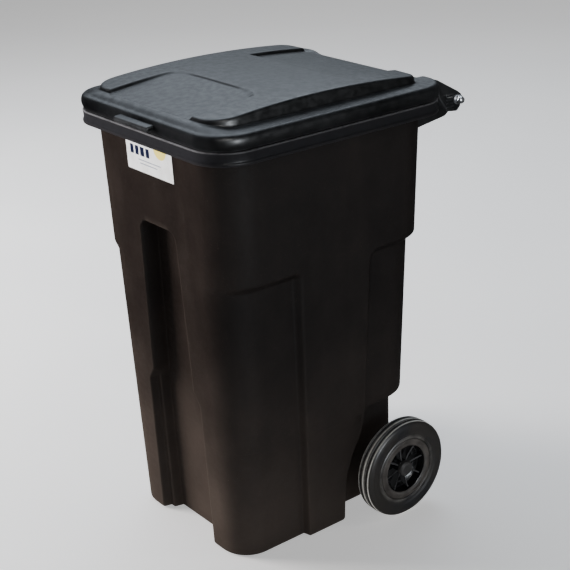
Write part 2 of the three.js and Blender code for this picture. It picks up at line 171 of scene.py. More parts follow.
def ledge_edge(z, t):
    parked = deep_edge(z, t) + ledge.park
    low = lerp(ledge.half_base, ledge.half_jog, z / recess.jog_low) + t
    return lerp(low, parked, soft_step((z - recess.jog_low) / (recess.jog_top - recess.jog_low), 0.2))


def recess_depth(x, z, t):
    """Depth of the front recess, with the shallow ledge on both sides of its lower part."""
    deep = inside_corner(x - deep_half(z) - t, z - recess.top - t, recess.corner)
    run, rise = recess.half_middle - ledge.half_jog, recess.jog_top - recess.jog_low
    slant = ((ledge.half_jog + t - x) * rise + (recess.jog_low + t - z) * -run) / math.hypot(run, rise)
    side = lerp(ledge.half_base, ledge.half_jog, z / recess.jog_low) + t - x
    shallow = ledge.depth * soft_step(np.minimum(side, slant) / ledge.wall)
    return shallow + (recess.depth - shallow) * soft_step(deep / recess.wall)


def pilaster_span(z, t):
    up = z / shoulder.z
    return (
        lerp(pilaster.front_base, pilaster.front_top, up) + t,
        lerp(pilaster.rear_base, pilaster.rear_top, up) - t,
        lerp(pilaster.slope_base, pilaster.slope_top, min(1, up)))


def side_inset(y, z, t):
    """How far in the side lies below the shoulder, in front of the pilaster and behind it."""
    front, rear, slope = pilaster_span(z, t)
    below = z - shoulder.z - t / 2
    depth = lerp(shoulder.side_base, shoulder.side_top, z / shoulder.z)
    ahead = inside_corner(y - front, below, shoulder.front_corner)
    behind = inside_corner(rear - y, below, shoulder.rear_corner)
    return depth * (soft_step(ahead / slope) + soft_step(behind / slope))


def arch_edge(z, t):
    """Where the wheel space cuts the side, from the floor up to the shelf."""
    return np.interp(z, [0, 59, 127, 189, 227, tail.shelf], [1, 2, 7, 28, 51, 65]) - t


def tail_rear(z, t):
    """The tail's back, which curves in towards its raised bottom."""
    bottom = tail.bottom + t
    span = tail.curve_top - bottom
    low = np.clip((tail.curve_top - z) / span, 0, 1)
    return lerp(tail.rear_base, tail.rear, math.sqrt(max(0, 1 - low ** 2.4))) - t


def tail_half(z, t):
    round_in = max(0, tail.bottom + t + tail.round - z) / tail.round
    return tail.half - t - tail.round * (1 - math.sqrt(max(0, 1 - round_in ** 2)))


EDGE_STEPS = np.array([1.25, 1.05, 0.9, 0.75, 0.6, 0.45, 0.3, 0.15, 0.0, -0.3])
FLOOR_COLUMNS, LEDGE_COLUMNS, FACE_COLUMNS, CORNER_COLUMNS = 6, 4, 6, 14
SLOPE_COLUMNS, SIDE_COLUMNS, PILASTER_COLUMNS, BACK_COLUMNS = 10, 4, 6, 10


def front_columns(z, t, end):
    """x of the columns across half of the front face. They follow both edges of the recess."""
    deep, shallow = deep_edge(z, t), ledge_edge(z, t)
    inner = deep - recess.wall * EDGE_STEPS
    outer = shallow - ledge.wall * EDGE_STEPS
    return np.concatenate([
        spread(0, inner[0], FLOOR_COLUMNS)[:-1], inner,
        spread(inner[-1], outer[0], LEDGE_COLUMNS)[1:-1], outer,
        onward(outer[-1], end, FACE_COLUMNS)])


def rear_full(z, t):
    """The tub's plan from the pilaster's rear edge round to the middle of the back."""
    _, rear, slope = pilaster_span(min(z, shoulder.z), t)
    wall = wall_at(z)
    half, radius = wall.half - t, wall.corner - t
    back = wall.rear - t - shoulder.rear * soft_step((shoulder.z + t / 2 - z) / shoulder.drop)
    edge = rear + slope * np.linspace(-0.15, 1.15, SLOPE_COLUMNS)
    side = onward(edge[-1], back - radius, SIDE_COLUMNS)
    y = np.concatenate([edge, side])
    flank = line(half, y)
    turn = arc(half - radius, back - radius, radius, 0, 90, CORNER_COLUMNS)
    points = np.vstack([flank, turn])
    points[:, 0] -= side_inset(points[:, 1], z, t)
    wall_x = onward(points[-1, 0], 0, BACK_COLUMNS)
    return np.vstack([points, line(wall_x, back)])


def side_to_arch(z, t, start):
    """The last stretch of the side face, and the rounded edge of the wheel space."""
    edge = arch_edge(z, t)
    radius = max(1.0, arch.edge_round - t / 2)
    x = wall_at(z).half - t - float(side_inset(edge, z, t))
    y = onward(start, edge - radius, 4)
    flat = line(x, y)
    return np.vstack([flat, arc(x - radius, edge - radius, radius, 0, 90, SLOPE_COLUMNS - 4)]), edge


def rear_tail(z, t, start):
    """The same columns below the shelf: into the wheel space and round the tail."""
    side, edge = side_to_arch(z, t, start)
    half, back = tail_half(z, t), tail_rear(z, t)
    inner = arch.inner_round
    radius = min(tail.round, (back - edge - inner) * 0.8)
    across = onward(side[-1, 0], half + inner, SIDE_COLUMNS)
    wall = line(across, edge)
    hollow = arc(half + inner, edge + inner, inner, 270, 180, 4)
    flank = line(half, onward(edge + inner, back - radius, 4))
    turn = arc(half - radius, back - radius, radius, 0, 90, CORNER_COLUMNS - 8)
    back_x = onward(half - radius, 0, BACK_COLUMNS)
    return np.vstack([side, wall, hollow, flank, turn, line(back_x, back)])


def rear_foot(z, t, start):
    """The same columns below the tail's raised bottom: straight across behind the foot."""
    side, edge = side_to_arch(z, t, start)
    count = SIDE_COLUMNS + CORNER_COLUMNS + BACK_COLUMNS
    across = onward(side[-1, 0], 0, count)
    return np.vstack([side, line(across, edge)])


def tub_ring(z, t, tail_share=0.0, foot_share=0.0, plan_z=None):
    """Half of the tub's plan at height z, moved in by t. Its rear part is the full back, the tail
    (tail_share = 1) or the foot (foot_share = 1), or on its way from one to the other."""
    level = z if plan_z is None else plan_z
    wall = wall_at(level)
    half, face, radius = wall.half - t, wall.front + t, wall.corner - t
    end = half - radius - float(side_inset(face, level, t))
    x = front_columns(level, t, end)
    front = np.column_stack([x, face + recess_depth(x, level, t)])
    turn = arc(half - radius, face + radius, radius, -90, 0, CORNER_COLUMNS)
    pil_front, pil_rear, slope = pilaster_span(min(level, shoulder.z), t)
    edge = pil_front + slope * np.linspace(-1.15, 0.15, SLOPE_COLUMNS)
    side = onward(turn[-1, 1], edge[0], SIDE_COLUMNS)
    last = pil_rear - slope * 0.3
    if tail_share > 0:
        last = min(last, arch_edge(level, t) - 12)
    middle = onward(edge[-1], last, PILASTER_COLUMNS)
    y = np.concatenate([side, edge[1:], middle])
    flank = np.vstack([turn, line(half, y)])
    flank[:, 0] -= side_inset(flank[:, 1], level, t)
    rear = rear_full(level, t) if tail_share < 1 else None
    if tail_share > 0:
        low = rear_tail(level, t, last)
        if foot_share > 0:
            low = lerp(low, rear_foot(level, t, last), foot_share)
        rear = low if rear is None else lerp(rear, low, tail_share)
    return at_level(np.vstack([front, flank, rear]), z)


def tub_rows(t):
    """The tub's rings from its bottom to just under the rim, every face moved in by t."""
    bottom, under, shelf = t, tail.bottom + t, tail.shelf + t
    radius = tub.round - t
    rows = []
    for angle in np.radians(spread(0, 90, 5)):
        z = bottom + radius * (1 - math.cos(angle))
        rows.append(tub_ring(z, t + radius * (1 - math.sin(angle)), 1, 1))
    for share in (1, 0.95, 0.6, 0.3, 0.1, 0):
        rows.append(tub_ring(under + (1 - share) * 0.4, t, 1, share))
    levels = [under + rise for rise in (2, 5, 9, 14, 20, 30)]
    rows += [tub_ring(z, t, 1) for z in (*levels, *spread(under + 45, shelf - 8, 12), shelf - 4)]
    plan_z = shelf - 2
    for share, dip in ((0.985, 2), (0.95, 0.7), (0.85, 0.1), (0.7, 0), (0.5, 0), (0.33, 0)):
        rows.append(tub_ring(shelf - dip, t, share, plan_z=plan_z))
    for angle in np.radians(spread(0, 75, 5)):
        z = shelf + 10 * (1 - math.cos(angle))
        rows.append(tub_ring(z, t, 0.22 * (1 - math.sin(angle)), plan_z=plan_z))
    runs = (
        (shelf + 12, recess.jog_low - 10, 5), (recess.jog_low - 7, recess.jog_top + 9, 16),
        (recess.jog_top + 25, shoulder.z - 34, 8), (shoulder.z - 26, shoulder.z + 6, 15),
        (shoulder.z + 16, recess.top - 32, 4), (recess.top - 27 + t, recess.top - 11 + t, 7),
        (recess.top - 9.5 + t, recess.top + 1.5 + t, 9), (recess.top + 14, tub.top - rim.plate - 3, 9))
    rows += [tub_ring(z, t) for run in runs for z in spread(*run)]
    return rows


# ---- mesh building

BEND_SOFT, BEND_SHARP = 60, 420


def link(thing):
    bpy.context.scene.collection.objects.link(thing)


def full_ring(half_ring):
    """Both sides of a half ring whose first and last points lie on x = 0."""
    return np.vstack([half_ring, half_ring[-2:0:-1] * [-1, 1, 1]])


def flip_if(wanted, faces):
    return [face[::-1] for face in faces] if wanted else faces


def closed_by_ends(rings):
    """Vertices and faces of a body that runs through these rings and has a flat face at each end."""
    index = np.arange(len(rings) * len(rings[0])).reshape(len(rings), -1)
    after = np.roll(index, -1, axis=1)
    quads = np.stack([index[:-1], after[:-1], after[1:], index[1:]], axis=-1).reshape(-1, 4)
    return np.vstack(rings).tolist(), quads.tolist() + [index[0, ::-1].tolist(), index[-1].tolist()]


def add_mesh(name, vertices, faces, flat_faces=()):
    """A smooth-shaded mesh object from points in millimetres."""
    mesh = bpy.data.meshes.new(name)
    mesh.from_pydata((np.asarray(vertices, float) * MM).tolist(), [], faces)
    mesh.shade_smooth()
    for index in flat_faces:
        mesh.polygons[index].use_smooth = False
    mesh.validate()
    mesh.update()
    piece = bpy.data.objects.new(name, mesh)
    link(piece)
    return piece


def read(items, name, width, kind=float):
    values = np.empty(len(items) * width, kind)
    items.foreach_get(name, values)
    return values.reshape(-1, width)


def mark_edges(piece):
    """Writes how sharply each point's surface bends outward, for the pale convex edges: rubbed wear and
    painted highlight.
    """
    mesh = piece.data
    points, normals = read(mesh.vertices, "co", 3), read(mesh.vertices, "normal", 3)
    pairs = read(mesh.edges, "vertices", 2, int)
    along = points[pairs[:, 1]] - points[pairs[:, 0]]
    turn = normals[pairs[:, 1]] - normals[pairs[:, 0]]
    length = np.maximum(np.sum(along * along, axis=1), 1e-10)
    bend = np.sum(along * turn, axis=1) / length
    sharpest = np.zeros(len(points))
    for ends in pairs.T:
        np.maximum.at(sharpest, ends, bend)
    wear_and_edge_highlight = mesh.attributes.new("wear_and_edge_highlight", "FLOAT", "POINT")
    wear_and_edge_highlight.data.foreach_set("value", np.clip((sharpest - BEND_SOFT) / (BEND_SHARP - BEND_SOFT), 0, 1))


def finish_piece(piece, material, slot, body, *nodes):
    """Gives a piece its material and body, and hides the CAD nodes it replaces; its slot is not used."""
    piece.data.materials.clear()
    piece.data.materials.append(material)
    mark_edges(piece)
    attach(piece, body)
    if nodes:
        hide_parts(*nodes)


def plan_by_ratio(reference, half, front, rear, corner, z):
    """A rounded rectangle whose columns lie where the reference ring's lie, in proportion."""
    x, y = reference[:, 0], reference[:, 1]
    count_front = FLOOR_COLUMNS + 2 * len(EDGE_STEPS) + (LEDGE_COLUMNS - 1) + FACE_COLUMNS
    count_side = SIDE_COLUMNS + (SLOPE_COLUMNS - 1) + PILASTER_COLUMNS + SLOPE_COLUMNS + SIDE_COLUMNS
    front_x = x[:count_front] / x[count_front - 1] * (half - corner)
    start = count_front + CORNER_COLUMNS
    side_y = y[start - 1:start + count_side]
    share = (side_y[1:] - side_y[0]) / (side_y[-1] - side_y[0])
    side_y = lerp(front + corner, rear - corner, share)
    back_x = onward(half - corner, 0, BACK_COLUMNS)
    return half_plan(front_x, side_y, back_x, half, front, rear, corner, corner, CORNER_COLUMNS, z)


def rim_rows(outer_wall, inner_wall):
    """The rim, from under its plate round its skirt and lip to the tub's inner edge."""
    def ring(inset, z):
        return plan_by_ratio(
            outer_wall, rim.half - inset, rim.front + inset, rim.rear - inset, rim.corner - inset, z)

    top, lip, skirt, inner_inset = tub.top, rim.lip, rim.skirt, 5.2
    under = top - rim.plate
    wall_edge = outer_wall.copy()
    wall_edge[:, 2] = under
    rows = [lerp(wall_edge, ring(skirt + 1, under), share) for share in (0.12, 0.5, 0.9)]
    profile = [
        (skirt + 0.6, under - 1), (skirt + 0.1, under - 3), (skirt, lip + 5), (skirt - 0.4, lip + 1.2),
        (skirt - 1.6, lip), (1.6, lip), (0.3, lip + 0.8), (-0.2, lip + 2.4), (-0.2, lip + 5.2),
        (0.3, lip + 6.8), (1.4, lip + 7.8), (2.1, lip + 9.2), (2.2, lip + 12), (2.0, lip + 18),
        (1.4, top - 7), (0.9, top - 4.6), (0.9, top - 2.6), (1.8, top - 0.9), (3.0, top - 0.2),
        (inner_inset, top)]
    rows += [ring(inset, z) for inset, z in profile]
    inner_edge = inner_wall.copy()
    inner_edge[:, 2] = top
    for drop, share in ((0, 0.35), (0, 0.7), (0, 0.93), (0.6, 0.985), (2.2, 1.0)):
        edge = lerp(ring(inner_inset, top), inner_edge, share)
        edge[:, 2] = top - drop
        rows.append(edge)
    return rows


def make_tub():
    outer = tub_rows(0.0)
    inner = tub_rows(tub.wall)
    rings = outer + rim_rows(outer[-1], inner[-1]) + inner[::-1]
    vertices, faces = closed_by_ends([full_ring(ring) for ring in rings])
    return add_mesh("tub_shell", vertices, faces, flat_faces=(len(faces) - 2, len(faces) - 1))


# ---- lid shape

LID_CORNER, LID_X = 9, 30


def lid_x_columns(end):
    """x of the columns across half of the panel. They close up at the sides of the ramps."""
    middle = front_ramp.half - front_ramp.wall / front_ramp.side_ease
    inner = spread(0, middle - 5, 9)
    step = middle + np.array([-2, 0, 2, 4, 6, 8, 10, 12, 13.5, 15, 16.5, 18, 20, 23])
    outer = onward(step[-1], end, LID_X - len(inner) - len(step) + 1)
    return np.concatenate([inner, step, outer])


def lid_side_shares():
    """The rows between the panel's front and rear corners, as shares of the way. They close up at the
    ends of the ramps."""
    front, rear = lid.panel_front + lid.panel_corner, lid.panel_rear - lid.panel_rear_corner
    step = front_ramp.rear + np.array([-44, -34, -26, -19, -14, -10, -7.5, -5.5, -4, -2.5, -1, 0.5, 3, 9])
    crease = rear_ramp.start + np.array([-9, -2, 0, 1.3, 2.6, 3.9, 5.2, 6.5, 9, 15])
    levels = np.concatenate([
        onward(front, step[0], 5)[:-1], step,
        onward(step[-1], crease[0], 7)[:-1], crease,
        onward(crease[-1], rear, 8)])
    return (levels - front) / (rear - front)


def lid_plan(half, front, rear, corner, rear_corner, z):
    """Half of a plan of the lid, whose columns are those of the panel's own outline, in proportion."""
    front_end, rear_end = lid.panel_half - lid.panel_corner, lid.panel_half - lid.panel_rear_corner
    front_x = lid_x_columns(front_end) / front_end * (half - corner)
    rear_x = lid_x_columns(rear_end)[::-1][1:] / rear_end * (half - rear_corner)
    side_y = lerp(front + corner, rear - rear_corner, lid_side_shares())
    return half_plan(front_x, side_y, rear_x, half, front, rear, corner, rear_corner, LID_CORNER, z)


def crown_at(y):
    edge = np.where(y < lid.crown_y, lid.panel_front, lid.panel_rear)
    height = np.where(y < lid.crown_y, lid.crown_front, lid.crown_rear)
    return lid.crown - (lid.crown - height) * ((y - lid.crown_y) / (edge - lid.crown_y)) ** 2


def panel_height(x, y):
    """Height of the panel's top, with its front and rear ramps pressed in."""
    crown = crown_at(y) - lid.side_fall * (x / lid.panel_half) ** 2
    along = (y - lid.panel_front) / (front_ramp.rear - lid.panel_front)
    ramp_end = crown_at(np.array(front_ramp.rear)) - front_ramp.step
    front_floor = lerp(front_ramp.floor, ramp_end, np.clip(along, 0, 1))
    across = (x - front_ramp.half) * front_ramp.side_ease
    front = inside_corner(across, y - front_ramp.rear, front_ramp.corner)
    sunk = crown - (crown - front_floor) * soft_step(front / front_ramp.wall, 0.45)
    rear = inside_corner(x - rear_ramp.half, rear_ramp.start - y, rear_ramp.corner)
    return sunk - rear_ramp.depth * soft_step(rear / rear_ramp.wall, 0.45)


def panel_rows(t):
    """Rows across the panel's top from its front edge to its rear edge, moved in by t."""
    outline = lid_plan(
        lid.panel_half - t, lid.panel_front + t, lid.panel_rear - t,
        lid.panel_corner, lid.panel_rear_corner, 0)
    rows = []
    for edge_x, y, _ in outline[LID_X:-LID_X]:
        x = lid_x_columns(edge_x)
        rows.append(at_level(line(x, y), panel_height(x, y) - t))
    return rows


def border_height(plan):
    """Height of the border where it meets the panel: high at the front, low at the rear."""
    front = soft_step((lid.panel_front + 45 - plan[:, 1]) / 60)
    rear = soft_step((plan[:, 1] - lid.panel_rear + 40) / 60)
    height = lid.border_side + (lid.border_front - lid.border_side) * front
    return height + (lid.border_rear - lid.border_side) * rear


def rear_dip(ring):
    """How far the border sinks below its usual height behind the rear ramp."""
    across = soft_step((rear_ramp.half + rear_ramp.dip_fade - ring[:, 0]) / rear_ramp.dip_fade)
    return rear_ramp.dip * across * soft_step((ring[:, 1] - lid.panel_rear + 2) / 14)


def lid_rings(t):
    """Rings from the panel's edge down its wall, over the border and down the skirt, moved in by t."""
    def panel_plan(out, z):
        grow = out - t
        return lid_plan(
            lid.panel_half + grow, lid.panel_front - grow, lid.panel_rear + grow,
            lid.panel_corner + grow, lid.panel_rear_corner + grow, z)

    def outer_plan(inset, z):
        grow = inset + t
        return lid_plan(
            lid.half - grow, lid.front + grow, lid.rear - grow, lid.corner - grow, lid.corner - grow, z)

    edge = panel_plan(0, 0)
    high = panel_height(edge[:, 0], edge[:, 1])
    low = np.minimum(border_height(edge), high + 0.5) - rear_dip(panel_plan(lid.foot, 0))
    wall = [
        (1.6, 0.99), (3.4, 0.955), (5.0, 0.89), (6.3, 0.79), (7.2, 0.65), (7.8, 0.5), (8.3, 0.34),
        (8.9, 0.2), (9.8, 0.1), (11.2, 0.03), (lid.foot, 0)]
    rings = [panel_plan(out, low + (high - low) * share - t) for out, share in wall]
    foot = rings[-1]
    for share in (0.2, 0.4, 0.6, 0.8, 0.93):
        ring = lerp(foot, outer_plan(11, 0), share)
        rise = math.cos(share * math.pi / 2) ** 1.2
        over_crest = foot[:, 2] + t - lid.crest + rear_dip(foot)
        ring[:, 2] = lid.crest - t - rear_dip(ring) + over_crest * rise
        rings.append(ring)
    profile = [
        (11, 11.6), (8.4, 10.6), (6.0, 9.2), (4.0, 7.2), (2.4, 4.8), (1.2, 2.0), (0.5, -1.5), (0.2, -6),
        (0.6, -11), (1.8, -15), (3.6, -18.5)]
    for inset, rise in profile:
        ring = outer_plan(inset, 0)
        squash = 1 - rear_dip(ring) / 12 if rise > 0 else 1
        ring[:, 2] = lid.shoulder + rise * squash - t * (rise > 0)
        rings.append(ring)
    if t == 0:
        rings.append(outer_plan(4.6, lid.bottom + 1.2))
        rings.append(outer_plan(5.6, lid.bottom))
    else:
        rings.append(outer_plan(4.4, lid.bottom + 0.1))
    return rings


def make_lid_shell():
    """Both faces of the moulded lid: a grid for each panel face and rings between them."""
    vertices, faces = [], []

    def add_quads(corners, flip):
        faces.extend(corners[:, ::-1 if flip else 1].tolist())

    def add_side(t, flip):
        rows = [np.vstack([row[:0:-1] * [-1, 1, 1], row]) for row in panel_rows(t)]
        width = len(rows[0])
        grid = len(vertices) + np.arange(len(rows) * width).reshape(-1, width)
        vertices.extend(np.vstack(rows).tolist())
        cells = np.stack([grid[:-1, :-1], grid[:-1, 1:], grid[1:, 1:], grid[1:, :-1]], axis=-1)
        add_quads(cells.reshape(-1, 4), flip)
        middle = width // 2
        loop = np.concatenate([
            grid[0, middle:], grid[1:, -1], grid[-1, -2::-1], grid[-2::-1, 0], grid[0, 1:middle]])
        for ring in lid_rings(t):
            below = len(vertices) + np.arange(len(loop))
            vertices.extend(full_ring(ring).tolist())
            add_quads(np.column_stack([loop, below, np.roll(below, -1), np.roll(loop, -1)]), flip)
            loop = below
        return loop

    outer, inner = add_side(0.0, False), add_side(lid.wall, True)
    add_quads(np.column_stack([outer, inner, np.roll(inner, -1), np.roll(outer, -1)]), False)
    return add_mesh("lid_shell", vertices, faces)


# ---- small parts

def filleted(points, radii, closed=True, steps=5):
    """A polyline with its corners rounded. radii is one number or one for each point."""
    points = [Vector(p) for p in points]
    count = len(points)
    radii = [radii] * count if np.isscalar(radii) else radii
    out = []
    for i, point in enumerate(points):
        if not closed and i in (0, count - 1):
            out.append(tuple(point))
            continue
        back, on = points[i - 1] - point, points[(i + 1) % count] - point
        angle = back.angle(on)
        cut_off = min(radii[i] / math.tan(max(angle, 0.05) / 2), 0.48 * back.length, 0.48 * on.length)
        if cut_off < 0.02 or angle > math.pi - 0.02:
            out.append(tuple(point))
            continue
        start, end = point + back.normalized() * cut_off, point + on.normalized() * cut_off
        for k in range(steps + 1):
            t = k / steps
            out.append(tuple(start * (1 - t) ** 2 + point * 2 * t * (1 - t) + end * t * t))
    return np.array(out)


def lathe(profile, segments, y, z, closed=True):
    """Vertices and faces of a body turned about an axis along X. The profile is (radius, x) points,
    and goes round clockwise when x is to the right and radius is up. Open ones start and end on the axis."""
    angles = np.arange(segments) * 2 * math.pi / segments
    vertices, rings = [], []
    for radius, x in profile:
        start = len(vertices)
        if radius < 1e-6:
            rings.append([start] * segments)
            vertices.append((x, y, z))
            continue
        rings.append(list(range(start, start + segments)))
        vertices += [(x, y + radius * math.cos(a), z + radius * math.sin(a)) for a in angles]
    faces = []
    for one, two in zip(rings, rings[1:] + rings[:1] if closed else rings[1:]):
        for i in range(segments):
            j = (i + 1) % segments
            faces.append(list(dict.fromkeys((one[i], one[j], two[j], two[i]))))
    return vertices, faces


def plate(outline, x0, x1, edge, steps=4):
    """Vertices and faces of a slab between x0 and x1 with a YZ outline and rounded edges."""
    outline = np.asarray(outline, float)
    along = np.roll(outline, -1, axis=0) - np.roll(outline, 1, axis=0)
    along /= np.maximum(np.linalg.norm(along, axis=1, keepdims=True), 1e-9)
    area = np.sum(outline[:, 0] * np.roll(outline[:, 1], -1) - np.roll(outline[:, 0], -1) * outline[:, 1])
    inward = np.column_stack([-along[:, 1], along[:, 0]]) * np.sign(area)
    turn = [math.radians(a) for a in spread(0, 90, steps)]
    curve = [(0, edge + 1.2)] + [(edge * (1 - math.cos(a)), edge * (1 - math.sin(a))) for a in turn]
    levels = [(x0 + rise, inset) for rise, inset in curve]
    levels += [(x1 - rise, inset) for rise, inset in curve[::-1]]
    vertices, faces = closed_by_ends([
        np.column_stack([np.full(len(outline), x), outline + inward * inset]) for x, inset in levels])
    return vertices, flip_if(area < 0, faces)


def turned(points, segments, closed=True, backwards=True):
    """A body turned about the axle. The points are (radius, x, fillet)."""
    profile = filleted([p[:2] for p in points], [p[2] for p in points], closed=closed, steps=4)
    return lathe(profile[::-1] if backwards else profile, segments, wheel.y, wheel.z, closed=closed)


def mirrored(body):
    vertices, faces = body
    return [(-x, y, z) for x, y, z in vertices], flip_if(True, faces)


def add_bodies(name, *bodies):
    """One mesh object holding several closed bodies."""
    vertices, faces = [], []
    for part_vertices, part_faces in bodies:
        base = len(vertices)
        vertices += part_vertices
        faces += [[base + i for i in face] for face in part_faces]
    return add_mesh(name, vertices, faces)


def sharpen(piece, degrees=40):
    """Keeps the crease where faces meet at more than this angle."""
    with_mesh = bmesh.new()
    with_mesh.from_mesh(piece.data)
    for edge in with_mesh.edges:
        edge.smooth = len(edge.link_faces) == 2 and edge.calc_face_angle(0) < math.radians(degrees)
    with_mesh.to_mesh(piece.data)
    with_mesh.free()
    return piece


def bracket_body():
    """The arm at the back of the tub that carries the handle bar and the hinge rod."""
    eye = bracket.eye
    outline = filleted([
        (262, rim.lip + 8), (rim.rear + 4, rim.lip + 11), (hinge.y - 8, hinge.z + eye - 1),
        (hinge.y + 4, hinge.z + eye), (hinge.y + eye - 2, hinge.z + 8), (hinge.y + eye - 0.5, hinge.z - 6),
        (hinge.y + 9, bracket.bottom + 8), (hinge.y - 2, bracket.bottom), (262, bracket.foot)],
        [2, 14, 10, 12, 9, 12, 9, 10, 2])
    return plate(outline, bracket.inner, bracket.outer, 4)


def lid_arm_bodies():
    """The lid's arm, and the gripping ribs on its outer face near the pin."""
    y, z = hinge.y, hinge.z
    outline = filleted([
        (lid.rear - 24, lid.crest), (lid.rear - 3, lid.shoulder + 7), (y + 6, z + 17.5),
        (y + 17, z + 9), (y + 18.3, z - 2), (y + 13.5, z - 20), (y + 3, z - 30), (y - 29, z - 25.5),
        (lid.rear + 3, z + 8), (lid.rear - 4, lid.bottom + 1), (lid.rear - 24, lid.bottom + 6)],
        [2, 9, 8, 7, 8, 7, 7, 9, 12, 6, 2])
    arm = plate(outline, hinge.lug_inner, hinge.lug_outer, 3.2)
    ribs = []
    for i in range(5):
        low = z - 24 + i * 8.2
        bar = filleted([(y - 34, low), (y - 10, low), (y - 10, low + 3.4), (y - 34, low + 3.4)], 1.2, steps=3)
        ribs.append(plate(bar, hinge.lug_outer - 2, hinge.lug_outer + 1.6, 1.1, steps=3))
    return [arm] + ribs


def tab_body():
    """The grip at the front of the lid."""
    outline = filleted([
        (tab.back, tab.bottom), (tab.front + 1, tab.bottom), (tab.front, tab.top - 5),
        (tab.front + 2, tab.top), (tab.back, tab.top + 2)], [1, 3.5, 3, 3.5, 1])
    return plate(outline, -tab.half, tab.half, 3.5)


def hinge_nut_bodies():
    """A closed-top nut: a chamfered hexagon below a dome, with a skirt ring."""
    start, flat, top = hinge.lug_outer + 4.3, hinge.lug_outer + 13, hinge.rod_half + 5
    corners = arc(hinge.y, hinge.z, 11, -60, 300, 6)
    hexagon = plate(filleted(corners, 0.9, steps=3), start, flat, 0.9, steps=3)
    dome = lathe(filleted([
        (0, flat - 3), (8.6, flat - 3), (8.6, flat + 3), (6.8, top - 1.6), (0, top)],
        [0, 0.1, 2.5, 4.5, 0], closed=False, steps=6), 40, hinge.y, hinge.z, closed=False)
    return [hexagon, dome]


def handle_body():
    """The grip tube on the hinge rod, with shallow rings near both ends."""
    bore, radius, half = hinge.rod + 0.45, 16, 170.5
    outside = [(radius - 1.5, -half), (radius, -half + 1.5)]
    for side in (-1, 1):
        for mark in sorted(side * (half - 14 - i * 6) for i in range(5)):
            outside += [(radius, mark - 1.6), (radius - 0.9, mark - 0.8), (radius - 0.9, mark + 0.8),
                        (radius, mark + 1.6)]
    outside += [(radius, half - 1.5), (radius - 1.5, half)]
    profile = [(bore, -half)] + outside + [(bore, half)]
    return lathe(profile[::-1], 64, hinge.y, hinge.z)


# ---- wheels

tyre_low, tyre_high = (np.array(corner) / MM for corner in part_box("tyre_right"))
wheel = Dims(
    inner=tyre_low[0], outer=tyre_high[0], y=(tyre_low[1] + tyre_high[1]) / 2,
    z=(tyre_low[2] + tyre_high[2]) / 2, radius=(tyre_high[2] - tyre_low[2]) / 2,
    seat=80, dish=60, boss=19)


def tyre_body():
    """Three rounded ribs on the tread, round shoulders, and side walls with a raised bead ring."""
    inner, outer, radius, seat = wheel.inner, wheel.outer, wheel.radius, wheel.seat
    middle = (inner + outer) / 2

    def groove(x, outer_drop, inner_drop):
        return [(radius - outer_drop, x + 2.6, 1.4), (radius - 5, x + 1.8, 0.8),
                (radius - 5, x - 1.8, 0.8), (radius - inner_drop, x - 2.6, 1.4)]

    points = [
        (seat, outer - 4, 1), (seat + 1.2, outer - 2.4, 1), (seat + 5.5, outer - 2.2, 1),
        (seat + 7.5, outer - 3.8, 1.5), (seat + 11, outer - 3.4, 2), (seat + 17, outer - 1, 8),
        (seat + 31, outer, 12), (radius - 6, outer - 2.2, 5), (radius - 1, outer - 7.5, 3.5),
        *groove(middle + 9.5, 0.6, 0.3), (radius, middle, 6), *groove(middle - 9.5, 0.3, 0.6),
        (radius - 1, inner + 7.5, 3.5), (radius - 6, inner + 2.2, 5), (seat + 31, inner + 0.2, 12),
        (seat + 17, inner + 1, 8), (seat + 7, inner + 3.4, 1.5), (seat, inner + 4, 1)]
    return turned(points, 128, backwards=False)


def hub_bodies():
    """The hub's outer ring and dish in one turned shell, its boss, and eight thin blades."""
    inner, outer, dish = wheel.inner, wheel.outer, wheel.dish
    seat = wheel.seat - 0.5
    web = inner + 12
    points = [
        (19.2, web, 0.5), (seat - 14, web, 3), (seat - 6, inner + 8, 2), (seat - 3.5, inner + 8, 1),
        (seat, inner + 8, 1), (seat, outer - 5, 1.5), (seat - 2, outer - 2.6, 1.5),
        (dish + 8.5, outer - 2.2, 2.5), (dish + 5.5, outer - 3.4, 1.5), (dish + 2.6, outer - 3.2, 1.5),
        (dish + 0.6, outer - 5.2, 1.6),
        (dish - 3.5, web + 12, 8), (dish - 12, web + 4.2, 7), (19.2, web + 4, 0.5)]
    shell = turned(points, 112)
    boss = lathe(filleted([
        (12.6, inner + 2), (12.6, outer - 14), (18.6, outer - 14), (wheel.boss, outer - 15),
        (wheel.boss + 0.8, inner + 2)], 0.6, steps=2), 48, wheel.y, wheel.z)
    blades = []
    reach = dish - 1.2
    for i in range(8):
        blade = filleted([
            (17, web + 2), (reach - 8, web + 2), (reach - 1, web + 12), (reach + 1, outer - 10),
            (reach - 5, outer - 12), (30, outer - 16), (17, outer - 15)], [0.3, 1, 3, 1, 5, 8, 0.5], steps=3)
        slab, slab_faces = plate(blade, -1.6, 1.6, 1.0, steps=3)
        place = Matrix.Translation((0, wheel.y, wheel.z)) @ Matrix.Rotation(math.radians(12 + 45 * i), 4, "X")
        vertices = [tuple(place @ Vector((x, y, z))) for z, y, x in slab]
        blades.append((vertices, flip_if(True, slab_faces)))
    return [shell, boss] + blades


def hub_cap_body():
    """A shallow domed cap with a rolled edge, hollow over the axle's end."""
    outer = wheel.outer
    points = [
        (0, outer - 3, 0), (16, outer - 3, 0.5), (16, outer - 13.6, 0.2), (19.4, outer - 13.6, 0.3),
        (19.4, outer - 4.5, 2), (16.8, outer - 1.4, 1.6), (13.5, outer - 1.1, 1), (12, outer - 0.2, 1.5),
        (0, outer, 0)]
    return turned(points, 64, closed=False)


# ---- materials

